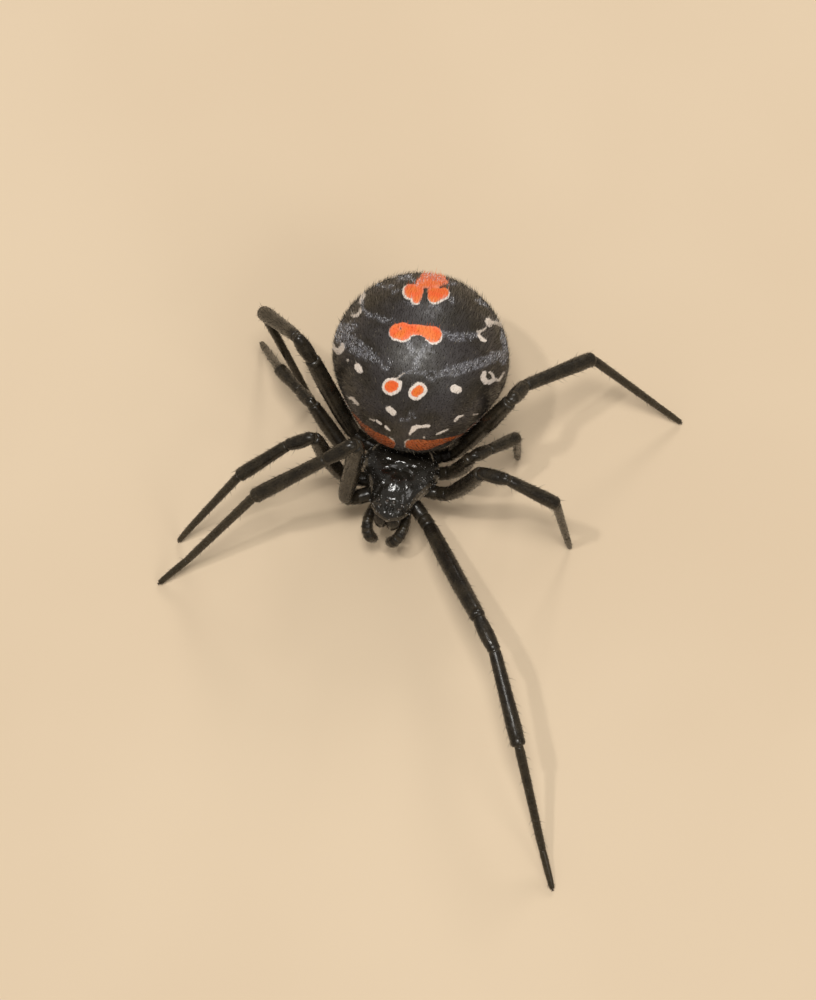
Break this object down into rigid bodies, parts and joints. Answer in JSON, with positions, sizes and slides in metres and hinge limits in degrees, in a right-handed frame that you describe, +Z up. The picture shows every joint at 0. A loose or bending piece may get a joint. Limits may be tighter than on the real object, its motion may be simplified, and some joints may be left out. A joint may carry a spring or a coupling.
{
  "type": "widow spider model",
  "caption": "Life-size still model of an adult female widow spider with a round, orange-spotted black abdomen, standing on eight slender legs.",
  "frame": {"origin": "on the floor, below the middle of the whole spider's box", "axes": "+Z up from the floor; the head faces -Y; the spider's own left side is +X"},
  "size_m": [0.0222, 0.0254, 0.0097],
  "materials": {
    "carapace": "glossy black cuticle",
    "abdomen": "satin black with orange and cream marks",
    "leg": "glossy black-brown cuticle with fine bristles",
    "foot": "satin dark brown, bristled",
    "jaw": "satin brown-black",
    "eye": "wet black"
  },
  "bodies": {
    "root": {"carapace": "carapace", "sternum": "carapace", "pedicel": "carapace", "abdomen": "abdomen", "spinnerets": "leg", "chelicera_left": "jaw", "palp_left": "leg", "chelicera_right": "jaw", "palp_right": "leg", "eye_left_front_middle": "eye", "eye_left_front_side": "eye", "eye_left_rear_middle": "eye", "eye_left_rear_side": "eye", "eye_right_front_middle": "eye", "eye_right_front_side": "eye", "eye_right_rear_middle": "eye", "eye_right_rear_side": "eye", "leg_left_1_coxa": "leg", "leg_left_1_femur": "leg", "leg_left_1_patella": "leg", "leg_left_1_tibia": "leg", "leg_left_1_foot": "foot", "leg_right_1_coxa": "leg", "leg_right_1_femur": "leg", "leg_right_1_patella": "leg", "leg_right_1_tibia": "leg", "leg_right_1_foot": "foot", "leg_left_2_coxa": "leg", "leg_left_2_femur": "leg", "leg_left_2_patella": "leg", "leg_left_2_tibia": "leg", "leg_left_2_foot": "foot", "leg_right_2_coxa": "leg", "leg_right_2_femur": "leg", "leg_right_2_patella": "leg", "leg_right_2_tibia": "leg", "leg_right_2_foot": "foot", "leg_left_3_coxa": "leg", "leg_left_3_femur": "leg", "leg_left_3_patella": "leg", "leg_left_3_tibia": "leg", "leg_left_3_foot": "foot", "leg_right_3_coxa": "leg", "leg_right_3_femur": "leg", "leg_right_3_patella": "leg", "leg_right_3_tibia": "leg", "leg_right_3_foot": "foot", "leg_left_4_coxa": "leg", "leg_left_4_femur": "leg", "leg_left_4_patella": "leg", "leg_left_4_tibia": "leg", "leg_left_4_foot": "foot", "leg_right_4_coxa": "leg", "leg_right_4_femur": "leg", "leg_right_4_patella": "leg", "leg_right_4_tibia": "leg", "leg_right_4_foot": "foot"}
  },
  "joints": []
}
